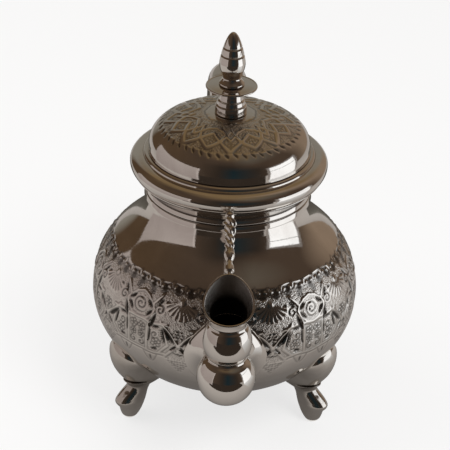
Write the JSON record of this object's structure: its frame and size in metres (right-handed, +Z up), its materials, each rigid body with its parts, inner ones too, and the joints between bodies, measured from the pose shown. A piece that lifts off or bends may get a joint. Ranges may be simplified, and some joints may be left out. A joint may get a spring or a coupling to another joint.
{
  "type": "moroccan teapot",
  "caption": "Round footed metal teapot with a chased belly, hinged domed lid with finial, beaked spout with a bridge strut, and looped handle.",
  "frame": {"origin": "on the ground in the middle of the teapot's whole extent; the pot's own vertical axis stands 8.34 mm from it towards -Y", "axes": "+Z up, spout towards -Y, handle towards +Y, mirror symmetric in X"},
  "size_m": [0.1518, 0.2536, 0.2289],
  "materials": {
    "silver_plate": "polished silver plate",
    "silver_plate_chased": "polished silver plate with chased ornament",
    "silver_plate_cast": "cast and plated, slightly softer polish",
    "bare_brass": "turned brass, unplated"
  },
  "bodies": {
    "pot": {"body_shell": "silver_plate_chased", "neck_collar": "silver_plate", "hinge_bracket": "silver_plate", "hinge_pin": "bare_brass", "spout_root": "silver_plate", "spout_ball": "silver_plate", "spout_bulb": "silver_plate", "spout_beak": "silver_plate", "spout_bridge": "silver_plate_cast", "handle": "silver_plate", "handle_socket_upper": "silver_plate", "handle_socket_lower": "silver_plate", "foot_front_right": "silver_plate_cast", "foot_rear": "silver_plate_cast", "foot_front_left": "silver_plate_cast"},
    "lid": {"lid_flange": "silver_plate", "lid_skirt": "silver_plate", "lid_dome": "silver_plate_chased", "hinge_leaf": "silver_plate", "finial_base": "silver_plate", "finial_guard": "silver_plate", "finial_knob": "silver_plate", "finial_stud": "bare_brass", "finial_washer": "bare_brass", "finial_nut": "bare_brass"}
  },
  "joints": [
    {"name": "lid_hinge", "type": "hinge", "parent": "pot", "child": "lid", "pos_m": [0, 0.04986, 0.14675], "axis": [-1, 0, 0], "range_deg": [0, 85]}
  ]
}
